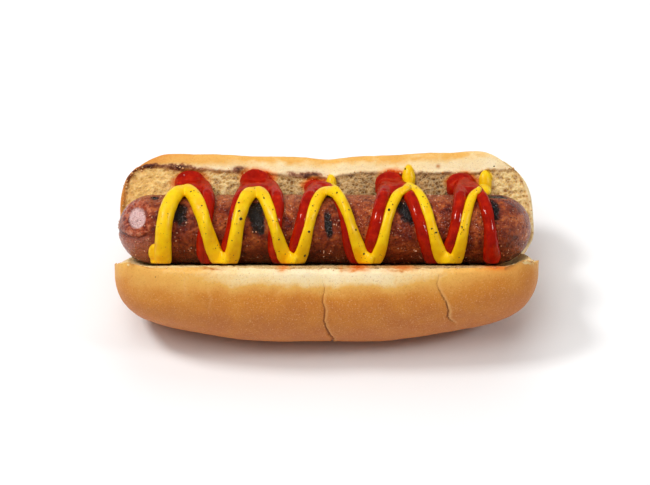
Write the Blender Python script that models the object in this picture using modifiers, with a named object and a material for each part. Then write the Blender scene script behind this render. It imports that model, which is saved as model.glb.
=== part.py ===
"""Hot dog: a split bun folded round a grilled sausage, with ketchup and mustard in zigzags.

Metres, +Z up. X runs along the bun, -Y is the front rim. The origin is on the surface the bun
rests on, under the middle of the hot dog.
"""
import math

import bmesh
import bpy
import numpy as np
from mathutils import Vector

# ---- driving dimensions -------------------------------------------------------------------
GAP = 0.0003                  # clearance between solids that touch

SAUSAGE_RADIUS = 0.0125
SAUSAGE_HALF_LENGTH = 0.0751
SAUSAGE_SHIFT_X = -0.0008     # it lies slightly towards the left end
SAUSAGE_CAP = 0.0125          # length of each rounded end
SAUSAGE_STEPS = 30            # facets round the sausage
AXIS_HEIGHT = 0.0334          # sausage axis above the surface it all rests on

BUN_HALF_LENGTH = 0.0775
BUN_LEAN = math.radians(45)   # each half leans this far outwards
BED_RADIUS = SAUSAGE_RADIUS + GAP
FOLD_RADIUS = 0.0165          # middle surface of the opened loaf, folded about the sausage axis
HALF_REACH = 0.0395           # along the middle surface, from the hinge to a rim
CRUST_BULGE = 0.0248          # thickest part of a half, outside the middle surface
HINGE_BULGE = 0.70            # thickness at the hinge, as a part of CRUST_BULGE
BULGE_AT = 0.36               # where a half is thickest, from hinge 0 to rim 1
END_DRAW_IN = 0.055           # the ends are this much shorter at the hinge
END_DRAW_REACH = 0.0134       # and that fades at this distance from it
PLAN_POWER = 6.5              # squareness of the loaf seen on its cut face
CORNER_ROUND = 0.42           # how far its corners are rounded off: 0 is square, 0.5 fully round
BULGE_POWER = 2.4             # squareness of the crust along the loaf
RIM_POWER = 8.0               # squareness of the cut faces near their edges
END_POWER = 10.0              # and near their ends
END_LIFT = 0.0030             # the outer corners of the halves turn up towards the cut side
END_LIFT_POWER = 7.0
RIGHT_THINNER = 0.025         # the crust is this much thinner at the right end, thicker at the left
BACK_SHOULDERS = (            # where the back half stands taller: x, extra reach, spread
    (-0.0520, 0.0020, 0.0150),
    (0.0000, 0.0006, 0.0400),
    (0.0545, 0.0034, 0.0140),
)
WAIST = 0.0014                # the loaf is drawn in a little at mid-length
WAIST_SPREAD = 0.16           # over this part of its half-length
BUN_STATIONS = 32             # sections along the bun
BUN_SPAN = 24                 # facets from rim to rim on each side of the section

KETCHUP_RADIUS = 0.0030
KETCHUP_SWELL = (0.8, 1.0)    # the first points of the bead, as parts of its radius
KETCHUP_RISE = 0.0012         # centre of the bead above the sausage
KETCHUP_TURN = 0.0037         # radius of the bends
KETCHUP_PEAKS = (-0.0500, -0.0258, -0.0033, 0.0228, 0.0497)
KETCHUP_VALLEYS = (-0.0400, -0.0148, 0.0130, 0.0412)
KETCHUP_TOPS = (0.0318, 0.0322, 0.0270, 0.0322, 0.0312)   # along the drum, from its front line
KETCHUP_LOW = -0.0118
KETCHUP_START = (-0.0548, 0.0270)
KETCHUP_END = (0.0604, -0.0125)
KETCHUP_LEAVES = math.radians(70)   # angle at which it leaves the sausage for the back crumb

MUSTARD_RADIUS = 0.0027
MUSTARD_SWELL = (1.35, 1.15)  # it begins as a blob
MUSTARD_RISE = 0.0026
MUSTARD_TURN = 0.0036
MUSTARD_PEAKS = (-0.0522, -0.0254, 0.0016, 0.0298, 0.0544)
MUSTARD_VALLEYS = (-0.0381, -0.0122, 0.0159, 0.0457)
MUSTARD_TOPS = (0.0158, 0.0156, 0.0188, 0.0182, 0.0178)
MUSTARD_LOW = -0.0122
MUSTARD_START = (-0.0622, -0.0125)
MUSTARD_END = (0.0584, 0.0190)
MUSTARD_LEAVES = math.radians(84)
MUSTARD_CLIMB = 0.0015        # extra height where it passes over the ketchup
MUSTARD_CLIMB_REACH = 0.0055
BEAD_END = 0.8                # each bead thins at its end
ROUTE_STEP = 0.0045           # spacing of the points on a bead's straight stretches

COLOURS = {
    "bun": ((0.78, 0.50, 0.22), 0.65),
    "sausage": ((0.19, 0.055, 0.032), 0.30),
    "ketchup": ((0.42, 0.012, 0.006), 0.18),
    "mustard": ((0.83, 0.50, 0.02), 0.32),
}


# ---- scene helpers ------------------------------------------------------------------------
def clear_scene():
    for old in list(bpy.data.objects):
        bpy.data.objects.remove(old, do_unlink=True)


def new_collection(name):
    group = bpy.data.collections.new(name)
    bpy.context.scene.collection.children.link(group)
    return group


def food_material(name):
    colour, roughness = COLOURS[name]
    material = bpy.data.materials.new(name + "_look")
    material.use_nodes = True
    shader = material.node_tree.nodes["Principled BSDF"]
    shader.inputs["Base Color"].default_value = (*colour, 1.0)
    shader.inputs["Roughness"].default_value = roughness
    shader.inputs["Metallic"].default_value = 0.0
    return material


def mesh_object(name, mesh, group):
    item = bpy.data.objects.new(name, mesh)
    group.objects.link(item)
    return item


def finish_part(item):
    item.data.materials.clear()
    item.data.materials.append(food_material(item.name))
    item.data.shade_smooth()
    item.data.set_sharp_from_angle(angle=math.radians(50))


def cut(item, cutter):
    """Takes the cutter away from the item, and makes the result its mesh."""
    step = item.modifiers.new("cut", "BOOLEAN")
    step.operation = "DIFFERENCE"
    step.solver = "EXACT"
    step.object = cutter
    bpy.context.view_layer.update()
    evaluated = item.evaluated_get(bpy.context.evaluated_depsgraph_get())
    item.modifiers.remove(step)
    item.data = bpy.data.meshes.new_from_object(evaluated)


# ---- bun ----------------------------------------------------------------------------------
def power_curve(position, power):
    """Height of a squared circle at a position from -1 to 1."""
    return max(0.0, 1.0 - abs(position) ** power) ** (1.0 / power)


def crust_shape(along):
    """Thickness of the crust side from hinge (0) to rim (+-1): a dip at the hinge, then a dome."""
    distance = abs(along)
    if distance < BULGE_AT:
        dip = 0.5 * (1.0 + math.cos(math.pi * distance / BULGE_AT))
        return 1.0 - (1.0 - HINGE_BULGE) * dip
    return power_curve((distance - BULGE_AT) / (1.0 - BULGE_AT), 2.2)


def crumb_shape(along):
    """Height of the cut side from hinge to rim: flat, and rounded over at the rim."""
    return math.sqrt(max(0.0, 1.0 - abs(along) ** RIM_POWER))


def fold(reach, outwards):
    """Bends the opened loaf round the sausage: a point on its section as (y, z)."""
    arc = FOLD_RADIUS * BUN_LEAN
    side = math.copysign(1.0, reach)
    straight = max(0.0, abs(reach) - arc)
    angle = min(abs(reach), arc) / FOLD_RADIUS
    radius = FOLD_RADIUS + outwards
    y = side * (radius * math.sin(angle) + straight * math.cos(angle))
    z = -radius * math.cos(angle) + straight * math.sin(angle)
    return y, z


def squared(across, power):
    """Shortens the other direction of a square sheet so that its outline is a squared circle."""
    return (1.0 - CORNER_ROUND * abs(across) ** power) ** (1.0 / power)


def half_reach(station, along):
    """Distance from the hinge to a rim: drawn in at the middle, and uneven on the back half."""
    reach = HALF_REACH - WAIST * math.exp(-(station / WAIST_SPREAD) ** 2)
    if along > 0.0:
        x = BUN_HALF_LENGTH * station
        reach += sum(extra * math.exp(-((x - at) / spread) ** 2) for at, extra, spread in BACK_SHOULDERS)
    return reach * squared(station, PLAN_POWER)


def bun_point(station, along, is_crust, skin):
    """Point of the bun at a place along it and across it, on the crust or on the cut side."""
    reach = along * half_reach(station, along)
    lift = END_LIFT * abs(station) ** END_LIFT_POWER * abs(along)
    if is_crust:
        bulge = CRUST_BULGE * (1.0 - RIGHT_THINNER * station) + lift
        outwards = bulge * power_curve(station, BULGE_POWER) * crust_shape(along) - lift
    else:
        depth = FOLD_RADIUS - BED_RADIUS + skin - lift
        height = math.sqrt(max(0.0, 1.0 - abs(station) ** END_POWER))
        outwards = -depth * height * crumb_shape(along) - lift
    y, z = fold(reach, outwards)
    draw_in = 1.0 - END_DRAW_IN * math.exp(-(reach / END_DRAW_REACH) ** 2)
    x = BUN_HALF_LENGTH * station * squared(along, PLAN_POWER) * draw_in
    return Vector((x, y, max(0.0, z + AXIS_HEIGHT)))


def bun_mesh(name, skin=0.0):
    """Loft of V sections. The crust and cut sides share their rims and their ends."""
    stations = [math.sin(0.5 * math.pi * s) for s in np.linspace(-1.0, 1.0, BUN_STATIONS + 1)]
    spans = [math.sin(0.5 * math.pi * s) for s in np.linspace(-1.0, 1.0, BUN_SPAN + 1)]
    shape = bmesh.new()
    for is_crust in (True, False):
        sheet = [[shape.verts.new(bun_point(s, a, is_crust, skin)) for a in spans] for s in stations]
        for i in range(BUN_STATIONS):
            for j in range(BUN_SPAN):
                # the diagonals run from the corners to the middle, alike in both sheets
                ring = [sheet[i][j], sheet[i][j + 1], sheet[i + 1][j + 1], sheet[i + 1][j]]
                if (i < BUN_STATIONS / 2) != (j < BUN_SPAN / 2):
                    ring = ring[1:] + ring[:1]
                shape.faces.new((ring[0], ring[1], ring[2]))
                shape.faces.new((ring[0], ring[2], ring[3]))
    bmesh.ops.remove_doubles(shape, verts=shape.verts, dist=1e-6)
    bmesh.ops.dissolve_degenerate(shape, edges=shape.edges, dist=1e-6)
    bmesh.ops.recalc_face_normals(shape, faces=shape.faces)
    mesh = bpy.data.meshes.new(name)
    shape.to_mesh(mesh)
    shape.free()
    return mesh


# ---- sausage ------------------------------------------------------------------------------
def sausage_profile(skin):
    """Half outline from the right tip to the left tip, as (distance from the axis, along it)."""
    straight = SAUSAGE_HALF_LENGTH - SAUSAGE_CAP
    outline = []
    for turn in np.linspace(0.0, 0.5 * math.pi, 9):
        along = straight + (SAUSAGE_CAP + skin) * math.cos(turn)
        outline.append(((SAUSAGE_RADIUS + skin) * math.sin(turn), along))
    for part in (0.5, 0.0):
        outline.append((SAUSAGE_RADIUS + skin, straight * part))
    mirrored = [(radius, -along) for radius, along in reversed(outline[:-1])]
    return outline + mirrored


def sausage_object(name, group, skin=0.0):
    """The outline turned about the sausage's own axis, then laid along X."""
    outline = sausage_profile(skin)
    mesh = bpy.data.meshes.new(name)
    points = [(radius, 0.0, along) for radius, along in outline]
    edges = [(i, i + 1) for i in range(len(points) - 1)]
    mesh.from_pydata(points, edges, [])
    item = mesh_object(name, mesh, group)
    turn = item.modifiers.new("turn", "SCREW")
    turn.axis = "Z"
    turn.angle = 2.0 * math.pi
    turn.steps = SAUSAGE_STEPS
    turn.render_steps = SAUSAGE_STEPS
    turn.use_merge_vertices = True
    turn.merge_threshold = 0.00002
    item.rotation_euler = (0.0, math.radians(90), 0.0)
    item.location = (SAUSAGE_SHIFT_X, 0.0, AXIS_HEIGHT)
    return item


# ---- sauces -------------------------------------------------------------------------------
def peg_route(turns, start, end, radius):
    """A string pulled round pegs: arcs round each turn, joined by their crossing tangents.

    turns is a list of (x, height, side): side 1 passes over a peg, -1 passes under it.
    """
    centres = [Vector((x, height - side * radius)) for x, height, side in turns]
    stops = [(Vector(start), 0.0, -turns[0][2])]
    stops += [(centre, radius, side) for centre, (x, height, side) in zip(centres, turns)]
    stops.append((Vector(end), 0.0, -turns[-1][2]))
    headings = []
    for (here, r_here, side), (there, r_there, next_side) in zip(stops, stops[1:]):
        apart = there - here
        lean = math.asin(min(1.0, (r_here + r_there) / apart.length))
        headings.append(math.atan2(apart.y, apart.x) - side * lean)
    route = [Vector(start)]
    for (centre, r, side), arrive, leave in zip(stops[1:-1], headings, headings[1:]):
        for part in np.linspace(0.0, 1.0, 8):
            heading = arrive + (leave - arrive) * part
            route.append(centre + side * r * Vector((-math.sin(heading), math.cos(heading))))
    route.append(Vector(end))
    return route


def fill_route(route, step):
    """Adds points on the long straight stretches, so that they can bend over the sausage."""
    filled = [route[0]]
    for point in route[1:]:
        count = max(1, round((point - filled[-1]).length / step))
        last = filled[-1]
        filled += [last.lerp(point, (i + 1) / count) for i in range(count)]
    return filled


def on_drum(x, along, radius, leaves_at):
    """Wraps a flat route round the sausage. Past leaves_at it runs straight to the back crumb."""
    angle = min(along / radius, leaves_at)
    over = max(0.0, along - radius * leaves_at)
    up = radius * math.sin(angle) + over * math.cos(angle)
    near = radius * math.cos(angle) - over * math.sin(angle)
    y = (up - near) * math.sin(BUN_LEAN)
    z = (up + near) * math.cos(BUN_LEAN)
    return Vector((x, y, z + AXIS_HEIGHT))


def zigzag(peaks, tops, valleys, low, start, end, radius):
    turns = []
    for i, (peak, top) in enumerate(zip(peaks, tops)):
        turns.append((peak, top, 1))
        if i < len(valleys):
            turns.append((valleys[i], low, -1))
    return fill_route(peg_route(turns, start, end, radius), ROUTE_STEP)


def ketchup_path():
    flat = zigzag(KETCHUP_PEAKS, KETCHUP_TOPS, KETCHUP_VALLEYS, KETCHUP_LOW,
                  KETCHUP_START, KETCHUP_END, KETCHUP_TURN)
    drum = SAUSAGE_RADIUS + KETCHUP_RISE
    return [on_drum(p.x, p.y, drum, KETCHUP_LEAVES) for p in flat]


def mustard_path(under):
    """The mustard's route, lifted where it passes over the points of the bead under it."""
    flat = zigzag(MUSTARD_PEAKS, MUSTARD_TOPS, MUSTARD_VALLEYS, MUSTARD_LOW,
                  MUSTARD_START, MUSTARD_END, MUSTARD_TURN)
    drum = SAUSAGE_RADIUS + MUSTARD_RISE
    path = []
    for p in flat:
        place = on_drum(p.x, p.y, drum, MUSTARD_LEAVES)
        nearest = min((place - q).length for q in under)
        climb = MUSTARD_CLIMB * math.exp(-(nearest / MUSTARD_CLIMB_REACH) ** 2)
        path.append(on_drum(p.x, p.y, drum + climb, MUSTARD_LEAVES))
    return path


def bead_object(name, path, radius, group, start_swell):
    """A round bead along a path, made a mesh with its caps welded."""
    curve = bpy.data.curves.new(name + "_line", "CURVE")
    curve.dimensions = "3D"
    curve.bevel_depth = radius
    curve.bevel_resolution = 2
    curve.use_fill_caps = True
    line = curve.splines.new("POLY")
    line.points.add(len(path) - 1)
    for knot, place in zip(line.points, path):
        knot.co = (*place, 1.0)
    for knot, swell in zip(line.points, start_swell):
        knot.radius = swell
    line.points[-1].radius = BEAD_END
    tube = mesh_object(name + "_tube", curve, group)
    bpy.context.view_layer.update()
    evaluated = tube.evaluated_get(bpy.context.evaluated_depsgraph_get())
    mesh = bpy.data.meshes.new_from_object(evaluated)
    item = mesh_object(name, mesh, group)
    item.matrix_world = tube.matrix_world
    bpy.data.objects.remove(tube)
    welded = bmesh.new()
    welded.from_mesh(mesh)
    bmesh.ops.remove_doubles(welded, verts=welded.verts, dist=1e-6)
    bmesh.ops.recalc_face_normals(welded, faces=welded.faces)
    welded.to_mesh(mesh)
    welded.free()
    return item


def hide_cutter(item):
    item.hide_render = True
    item.display_type = "WIRE"
    return item


# ---- the whole ----------------------------------------------------------------------------
def main():
    clear_scene()
    parts = new_collection("hot_dog")
    cutters = new_collection("hot_dog_cutters")

    bun = mesh_object("bun", bun_mesh("bun"), parts)
    sausage = sausage_object("sausage", parts)

    bun_skin = hide_cutter(mesh_object("bun_skin", bun_mesh("bun_skin", GAP), cutters))
    sausage_skin = hide_cutter(sausage_object("sausage_skin", cutters, GAP))
    red_line = ketchup_path()
    yellow_line = mustard_path(red_line)
    ketchup_skin = hide_cutter(bead_object("ketchup_skin", red_line, KETCHUP_RADIUS + GAP, cutters,
                                           KETCHUP_SWELL))

    ketchup = bead_object("ketchup", red_line, KETCHUP_RADIUS, parts, KETCHUP_SWELL)
    mustard = bead_object("mustard", yellow_line, MUSTARD_RADIUS, parts, MUSTARD_SWELL)
    for cutter in (sausage_skin, bun_skin):
        cut(ketchup, cutter)
    for cutter in (sausage_skin, bun_skin, ketchup_skin):
        cut(mustard, cutter)

    for item in (bun, sausage, ketchup, mustard):
        finish_part(item)


main()
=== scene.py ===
import math

import bpy
import numpy as np
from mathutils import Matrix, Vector
from mathutils.bvhtree import BVHTree


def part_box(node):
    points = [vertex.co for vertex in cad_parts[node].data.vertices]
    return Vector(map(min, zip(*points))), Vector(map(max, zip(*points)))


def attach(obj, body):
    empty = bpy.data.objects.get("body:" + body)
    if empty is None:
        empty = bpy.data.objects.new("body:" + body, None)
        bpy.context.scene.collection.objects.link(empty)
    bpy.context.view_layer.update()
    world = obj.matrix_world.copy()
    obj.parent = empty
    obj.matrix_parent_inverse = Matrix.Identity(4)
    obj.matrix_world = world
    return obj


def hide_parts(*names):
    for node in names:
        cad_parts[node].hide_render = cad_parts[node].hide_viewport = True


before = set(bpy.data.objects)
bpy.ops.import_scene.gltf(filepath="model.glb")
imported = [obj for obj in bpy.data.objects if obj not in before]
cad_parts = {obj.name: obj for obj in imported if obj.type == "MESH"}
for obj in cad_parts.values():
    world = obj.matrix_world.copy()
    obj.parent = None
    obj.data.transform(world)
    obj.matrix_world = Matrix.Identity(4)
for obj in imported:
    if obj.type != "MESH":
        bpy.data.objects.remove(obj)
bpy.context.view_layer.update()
print("frame loaded:", ", ".join(sorted(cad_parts)))

mm = 0.001
lean = math.radians(45)            # each half of the bun leans this far outwards

# the sizes that the frame gives
sausageLow, sausageHigh = (np.array(corner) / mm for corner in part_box("sausage"))
bunLow, bunHigh = (np.array(corner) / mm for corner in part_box("bun"))
axisHeight = 0.5 * (sausageLow[2] + sausageHigh[2])
sausageRadius = 0.5 * max(sausageHigh[1] - sausageLow[1], sausageHigh[2] - sausageLow[2])
sausageHalf = 0.5 * (sausageHigh[0] - sausageLow[0])
sausageMid = 0.5 * (sausageHigh[0] + sausageLow[0])
bunHalf = 0.5 * (bunHigh[0] - bunLow[0])


# ---- places -------------------------------------------------------------------------------
# Beside world x, y, z the script uses x, up and near: up runs along the back half of the bun,
# near along the front half, and both start at the sausage's axis.
def toWorld(x, up, near):
    # the pair (up, near) turned back by the lean, in metres
    y = (up - near) * math.sin(lean)
    z = (up + near) * math.cos(lean) + axisHeight
    return mm * np.stack(np.broadcast_arrays(x, y, z), axis=-1)


def fromWorld(points):
    x, y, z = (points / mm).T
    z = z - axisHeight
    return x, (y + z) * math.sin(lean), (z - y) * math.cos(lean)


def smoothStep(value, start, end):
    # 0 before start, 1 after end, eased by 3t^2 - 2t^3 between them
    part = np.clip((value - start) / (end - start), 0.0, 1.0)
    return part * part * (3.0 - 2.0 * part)


def bell(value, width):
    # a hump of height 1: e to the minus square of value over width
    return np.exp(-((value / width) ** 2))


# ---- noise --------------------------------------------------------------------------------
def softNoise(points, grain, seed):
    # random values on a cubic lattice of pitch grain, eased between neighbours: -1 to 1
    table = np.random.default_rng(seed).uniform(-1.0, 1.0, (32, 32, 32))
    place = points / grain
    cell = np.floor(place).astype(int)
    part = place - cell
    part = part * part * (3.0 - 2.0 * part)
    total = np.zeros(len(points))
    for corner in np.ndindex(2, 2, 2):
        weight = np.prod(np.where(corner, part, 1.0 - part), axis=1)
        i, j, k = ((cell + corner) % 32).T
        total += weight * table[i, j, k]
    return total


def roughNoise(points, grain, seed, layers=3):
    # layers of soft noise, each half as coarse and a little over half as strong as the last
    total = np.zeros(len(points))
    for layer in range(layers):
        total += 0.55 ** layer * softNoise(points, grain * 0.5 ** layer, seed + layer)
    return total


def poreNoise(points, grain, seed):
    # depth 0 to 1 of round pits, one in each lattice cell at a random place and of a random size
    rng = np.random.default_rng(seed)
    centres = rng.uniform(0.1, 0.9, (16, 16, 16, 3))
    radii = rng.uniform(0.30, 0.75, (16, 16, 16))
    place = points / grain
    cell = np.floor(place).astype(int)
    depth = np.zeros(len(points))
    for step in np.ndindex(3, 3, 3):
        near = cell + np.array(step) - 1
        i, j, k = (near % 16).T
        gap = np.linalg.norm(near + centres[i, j, k] - place, axis=1) / radii[i, j, k]
        depth = np.maximum(depth, np.sqrt(np.clip(1.0 - gap ** 2, 0.0, 1.0)) * radii[i, j, k] / 0.75)
    return depth


# ---- meshes -------------------------------------------------------------------------------
def gridQuads(ids):
    # four neighbours of a grid of vertex numbers make a face
    corners = [ids[:-1, :-1], ids[1:, :-1], ids[1:, 1:], ids[:-1, 1:]]
    return np.stack(corners, axis=-1).reshape(-1, 4)


def closedTube(rings):
    # rings joined into a tube, with a fan to the middle of the ring at each end
    count, around = rings.shape[:2]
    ids = np.arange(count * around).reshape(count, around)
    ids = np.hstack([ids, ids[:, :1]])
    points = np.vstack([rings.reshape(-1, 3), rings[0].mean(axis=0), rings[-1].mean(axis=0)])
    first = np.full(around, count * around)
    firstFan = np.stack([first, ids[0, 1:], ids[0, :-1]], axis=-1)
    lastFan = np.stack([first + 1, ids[-1, :-1], ids[-1, 1:]], axis=-1)
    return points, gridQuads(ids).tolist() + firstFan.tolist() + lastFan.tolist()


def joinShapes(shapes):
    # lists of (points, faces) put into one, with the vertex numbers moved on
    points, faces = [], []
    moved = 0
    for shapePoints, shapeFaces in shapes:
        points.append(shapePoints)
        faces += [[corner + moved for corner in face] for face in shapeFaces]
        moved += len(shapePoints)
    return np.vstack(points), faces


def makePiece(name, points, faces):
    mesh = bpy.data.meshes.new(name)
    mesh.from_pydata(points.tolist(), [], faces if isinstance(faces, list) else faces.tolist())
    mesh.shade_smooth()
    piece = bpy.data.objects.new(name, mesh)
    bpy.context.scene.collection.objects.link(piece)
    return piece


def readPoints(piece):
    flat = np.empty(len(piece.data.vertices) * 3)
    piece.data.vertices.foreach_get("co", flat)
    return flat.reshape(-1, 3)


def writePoints(piece, points):
    piece.data.vertices.foreach_set("co", points.ravel())
    piece.data.update()


def readNormals(piece):
    flat = np.empty(len(piece.data.vertices) * 3)
    piece.data.vertex_normals.foreach_get("vector", flat)
    return flat.reshape(-1, 3)


def pushOut(piece, height):
    # every vertex moved along its normal, by a height in millimetres
    writePoints(piece, readPoints(piece) + mm * height[:, None] * readNormals(piece))


def paintPoints(piece, name, values):
    # a value at each vertex, which the material reads by its name
    layer = piece.data.attributes.new(name, "FLOAT", "POINT")
    layer.data.foreach_set("value", np.ascontiguousarray(values, dtype=np.float32))


def applyModifiers(piece):
    bpy.context.view_layer.update()
    solid = piece.evaluated_get(bpy.context.evaluated_depsgraph_get())
    old = piece.data
    piece.data = bpy.data.meshes.new_from_object(solid)
    piece.modifiers.clear()
    bpy.data.meshes.remove(old)
    piece.data.name = piece.name


def meltTogether(piece, voxel, smoothing):
    # overlapping lobes and strokes made one closed skin, then relaxed
    remesh = piece.modifiers.new("melt", "REMESH")
    remesh.mode = "VOXEL"
    remesh.voxel_size = voxel * mm
    relax = piece.modifiers.new("relax", "SMOOTH")
    relax.factor = 0.5
    relax.iterations = smoothing
    applyModifiers(piece)
    piece.data.shade_smooth()


def relaxAbove(piece, start, end, rounds):
    # smooths the part of a piece that lies above a level, eased in between start and end
    x, up, near = fromWorld(readPoints(piece))
    group = piece.vertex_groups.new(name="above")
    weights = smoothStep(up, start, end)
    for share in np.linspace(0.1, 1.0, 10):
        chosen = np.flatnonzero((weights > share - 0.1) & (weights <= share))
        group.add(chosen.tolist(), share, "REPLACE")
    relax = piece.modifiers.new("relax", "SMOOTH")
    relax.vertex_group = "above"
    relax.factor = 0.5
    relax.iterations = rounds
    applyModifiers(piece)
    piece.vertex_groups.clear()


# ---- materials ----------------------------------------------------------------------------
def tint(red, green, blue):
    # a colour from 0 to 255 on a screen, as the linear light that the shader needs
    screen = np.array([red, green, blue]) / 255.0
    linear = np.where(screen > 0.04045, ((screen + 0.055) / 1.055) ** 2.4, screen / 12.92)
    return (*linear.tolist(), 1.0)


def newMaterial(name):
    material = bpy.data.materials.new(name)
    material.use_nodes = True
    return material, material.node_tree, material.node_tree.nodes["Principled BSDF"]


def setSockets(tree, item, sockets):
    for socket, value in sockets.items():
        if isinstance(value, bpy.types.NodeSocket):
            tree.links.new(value, item.inputs[socket])
        else:
            item.inputs[socket].default_value = value


def addNode(tree, kind, sockets, **settings):
    item = tree.nodes.new("ShaderNode" + kind)
    for name, value in settings.items():
        setattr(item, name, value)
    setSockets(tree, item, sockets)
    return item


def objectPlace(tree):
    return addNode(tree, "TexCoord", {}).outputs["Object"]


def noiseAt(tree, place, grain, detail=3.0, roughness=0.55, distortion=0.0):
    # grain is the size of one spot in millimetres
    sockets = {"Vector": place, "Scale": 1.0 / (grain * mm), "Detail": detail,
               "Roughness": roughness, "Distortion": distortion}
    return addNode(tree, "TexNoise", sockets).outputs["Fac"]


def cellsAt(tree, place, grain, feature="F1"):
    sockets = {"Vector": place, "Scale": 1.0 / (grain * mm)}
    return addNode(tree, "TexVoronoi", sockets, feature=feature).outputs["Distance"]


def painted(tree, name):
    return addNode(tree, "Attribute", {}, attribute_name=name).outputs["Fac"]


def calc(tree, operation, first, second=0.0):
    return addNode(tree, "Math", {0: first, 1: second}, operation=operation).outputs[0]


def rescale(tree, value, fromLow, fromHigh, toLow=0.0, toHigh=1.0):
    sockets = {"Value": value, "From Min": fromLow, "From Max": fromHigh, "To Min": toLow, "To Max": toHigh}
    return addNode(tree, "MapRange", sockets).outputs["Result"]


def rampOf(tree, value, stops):
    ramp = addNode(tree, "ValToRGB", {"Fac": value})
    while len(ramp.color_ramp.elements) < len(stops):
        ramp.color_ramp.elements.new(0.5)
    for element, (position, colour) in zip(ramp.color_ramp.elements, stops):
        element.position = position
        element.color = colour
    return ramp.outputs["Color"]


def blend(tree, amount, under, over, way="MIX"):
    item = addNode(tree, "Mix", {}, data_type="RGBA", blend_type=way)
    setSockets(tree, item, {0: amount, 6: under, 7: over})
    return item.outputs[2]


def bumpFrom(tree, height, strength, depth, below=None):
    sockets = {"Height": height, "Strength": strength, "Distance": depth * mm}
    if below is not None:
        sockets["Normal"] = below
    return addNode(tree, "Bump", sockets).outputs["Normal"]


# ---- bun ----------------------------------------------------------------------------------
bun = {
    "stations": 262,               # columns of the grid along the bun
    "spans": 186,                  # rows from rim to rim
    "foldRadius": 16.5,            # middle surface of the opened loaf, about the sausage's axis
    "bedGap": 0.15,                # between the sausage and the cut faces
    "halfReach": 39.5,             # from the hinge to a rim
    "bulge": 24.6,                 # thickest crust outside the middle surface
    "hingeBulge": 0.70,            # its thickness at the hinge
    "bulgeAt": 0.36,               # where a half is thickest, from hinge 0 to rim 1
    "endDrawIn": (0.080, 6.0),    # the ends are this much shorter at the hinge, over this distance
    "frontCorner": (5.3, 0.42),    # squareness and rounding of the front half's corners
    "backLeft": (6.4, 0.49),
    "backRight": (5.2, 0.49),
    "bulgePower": 2.55,
    "blunt": (0.10, 12.0),         # share of the bulge that keeps full nearly to the ends, and its power
    "rimPower": 8.0,
    "endPower": 10.0,
    "endLift": (4.6, 5.6, 3.0),    # the corners turn up: front left, front right, back
    "endLiftPower": 7.0,
    "rightThinner": 0.025,
    "backShoulders": ((-67.0, 2.1, 11.0), (-45.0, 0.9, 16.0), (0.0, 0.9, 45.0), (46.0, 1.9, 17.0),
                      (68.0, 4.0, 11.5)),
    "thinner": ((-50.0, 1.05, 15.0), (50.0, 1.5, 20.0)),       # the crust bulges less here
    "hug": (3.0, 4.6),             # the crumb rises past the sausage's ends, left and right
    "waist": (1.2, 0.13),
    # width of the rounded shoulder above the cut, for places along the bun from -1 to 1
    "backShoulder": ((-0.97, -0.93, -0.80, -0.64, -0.48, -0.30, -0.14, 0.02, 0.18, 0.51, 0.67, 0.76, 0.87,
                      0.93, 0.98),
                     (4.2, 5.4, 6.8, 8.1, 7.7, 8.2, 8.7, 8.3, 7.8, 9.4, 9.8, 10.1, 9.2, 7.3, 4.4)),
    "frontShoulder": ((-1.0, -0.86, -0.74, -0.4, -0.2, 0.6, 0.8, 0.9, 1.0),
                      (1.4, 2.2, 4.8, 4.8, 3.4, 3.6, 3.6, 2.0, 1.4)),
    "endShoulder": (0.5, 1.7),     # and at the ends, on the front and the back half
    "cutStep": 0.55,               # the crumb lies this much below the shoulder
}

cracks = {
    # each crack: its course down the front crust as up and x, its depth, half width and lip
    "middle": {"up": (-17.0, -18.5, -21.2, -25.1, -28.3, -32.5, -36.4, -38.2, -39.6),
               "x": (-1.3, -1.4, -0.6, -1.6, -0.6, -1.1, 0.2, 1.0, 2.4),
               "depth": (0.0, 0.25, 0.4, 0.5, 0.6, 0.8, 1.0, 1.3, 1.6), "width": 0.30, "lip": 0.12},
    "right": {"up": (-13.2, -15.0, -19.8, -23.7, -25.8, -29.0, -31.5, -32.9, -34.5),
              "x": (39.8, 39.5, 38.7, 40.5, 41.7, 43.3, 42.9, 44.4, 46.4),
              "depth": (0.1, 0.3, 0.4, 0.6, 0.7, 0.8, 0.85, 0.7, 0.1), "width": 0.30, "lip": 0.20},
}
creases = {
    # fine pale wrinkles in the crust: their courses as the cracks', with the depth in the middle
    "lines": [{"up": (-16.0, -20.0, -26.0), "x": (-49.8, -50.2, -49.9), "depth": (0.0, 0.14, 0.0)},
              {"up": (-18.0, -24.0, -31.0), "x": (-41.8, -41.2, -41.7), "depth": (0.0, 0.12, 0.0)},
              {"up": (-17.6, -20.0, -22.6), "x": (-27.6, -30.4, -34.0), "depth": (0.0, 0.13, 0.0)},
              {"up": (-20.0, -22.0, -24.8), "x": (-14.8, -16.6, -19.0), "depth": (0.0, 0.12, 0.0)},
              {"up": (-15.6, -18.0, -22.0), "x": (24.0, 24.8, 24.2), "depth": (0.0, 0.10, 0.0)}],
    "width": 0.30,
}


def powerCurve(place, power):
    # squared circle: (1 - |place|^power)^(1/power)
    return np.clip(1.0 - np.abs(place) ** power, 0.0, 1.0) ** (1.0 / power)


def crustShape(along):
    # a dip at the hinge that rises by a half cosine, then a rounded shoulder down to the rim
    distance = np.abs(along)
    dip = 0.5 * (1.0 + np.cos(math.pi * np.minimum(distance / bun["bulgeAt"], 1.0)))
    inner = 1.0 - (1.0 - bun["hingeBulge"]) * dip
    outer = powerCurve(np.maximum(0.0, distance - bun["bulgeAt"]) / (1.0 - bun["bulgeAt"]), 2.2)
    return np.where(distance < bun["bulgeAt"], inner, outer)


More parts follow.
